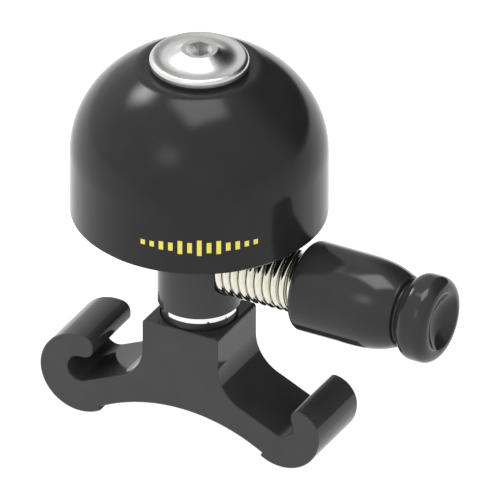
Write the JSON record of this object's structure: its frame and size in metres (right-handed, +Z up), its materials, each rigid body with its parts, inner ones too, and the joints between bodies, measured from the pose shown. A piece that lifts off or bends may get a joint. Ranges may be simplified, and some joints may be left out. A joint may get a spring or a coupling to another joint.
{
  "type": "bicycle bell",
  "caption": "Bicycle bell: brass dome on a swivelling post, struck by a spring-mounted thumb hammer, on a handlebar saddle bracket with hooks for a rubber strap.",
  "frame": {"origin": "middle of the saddle's highest line, where the handlebar touches the bracket", "axes": "+Z up the bell's axis, away from the handlebar; +X along the striker at rest; Y along the handlebar"},
  "size_m": [0.0512, 0.0306, 0.0511],
  "materials": {
    "bracket_black": "gloss black anodised",
    "post_black": "gloss black anodised",
    "gasket_rubber": "matte black rubber",
    "washer_steel": "polished steel",
    "screw_steel": "plain steel",
    "bolt_steel": "satin stainless",
    "washer_black": "matte black",
    "nylon_natural": "natural nylon",
    "dome_black": "semi-gloss black lacquer on brass",
    "spring_nickel": "nickel-plated spring wire",
    "insert_brass": "turned brass",
    "hammer_black": "smooth black nylon, semi-gloss"
  },
  "bodies": {
    "base": {"base_bracket": "bracket_black", "swivel_gasket": "gasket_rubber"},
    "head": {"post": "post_black", "base_screw": "screw_steel", "screw_washer": "screw_steel", "swivel_washer": "washer_steel", "spring_stud": "screw_steel", "lower_dome_washer": "nylon_natural", "dome_bush": "nylon_natural", "dome": "dome_black", "upper_dome_washer": "washer_black", "dome_bolt": "bolt_steel"},
    "spring": {"striker_spring": "spring_nickel"},
    "hammer": {"hammer_insert": "insert_brass", "hammer": "hammer_black"}
  },
  "joints": [
    {"name": "head_swivel", "type": "hinge", "parent": "base", "child": "head", "pos_m": [0, 0, 0.01185], "axis": [0, 0, 1], "continuous": true},
    {"name": "striker_sway", "type": "hinge", "parent": "head", "child": "spring", "pos_m": [0.0069, 0, 0.01874], "axis": [0, 0, 1], "range_deg": [-20, 20], "stiffness_Nm_per_rad": 0.06, "deforming": ["striker_spring"]},
    {"name": "striker_flick", "type": "hinge", "parent": "spring", "child": "hammer", "pos_m": [0.01165, 0, 0.01874], "axis": [0, -1, 0], "range_deg": [-25, 10.5], "stiffness_Nm_per_rad": 0.06, "deforming": ["striker_spring"]}
  ]
}
